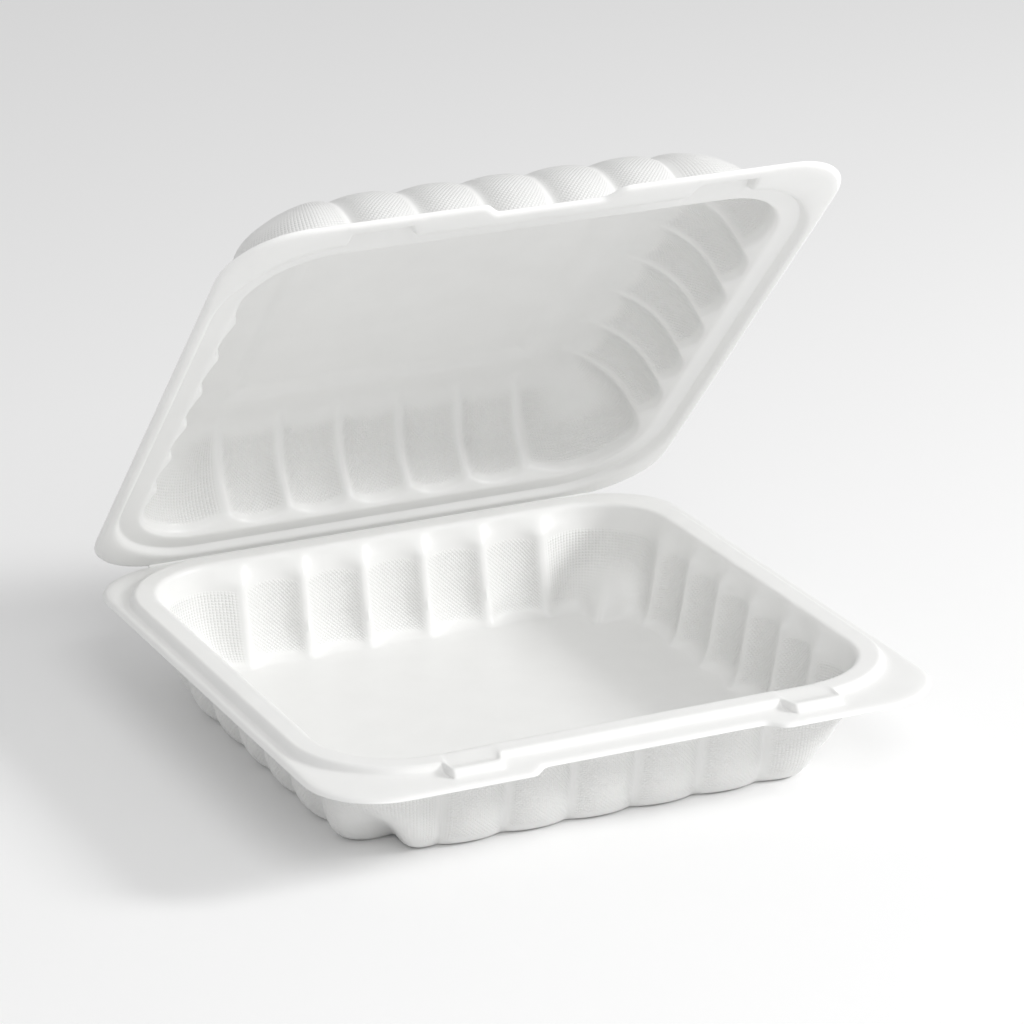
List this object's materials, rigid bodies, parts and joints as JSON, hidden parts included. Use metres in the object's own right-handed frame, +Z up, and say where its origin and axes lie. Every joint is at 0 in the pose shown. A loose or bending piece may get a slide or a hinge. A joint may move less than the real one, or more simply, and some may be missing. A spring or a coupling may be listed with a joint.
{
  "type": "hinged food container",
  "caption": "Square hinged clamshell food container with fluted walls, a raised rim bead, front latch blocks and a lid that folds back.",
  "frame": {"origin": "middle of the flat underside of the base, on the table it rests on", "axes": "+X to the right along the fold, +Y from the front latches to the fold at the back, +Z up"},
  "size_m": [0.231, 0.2438, 0.209],
  "materials": {
    "sheet": "satin"
  },
  "bodies": {
    "base": {"tray": "sheet"},
    "cover": {"lid": "sheet"}
  },
  "joints": [
    {"name": "lid_hinge", "type": "hinge", "parent": "base", "child": "cover", "pos_m": [0, 0.115, 0.037], "axis": [-1, 0, 0], "range_deg": [-45.5, 129.5]}
  ]
}
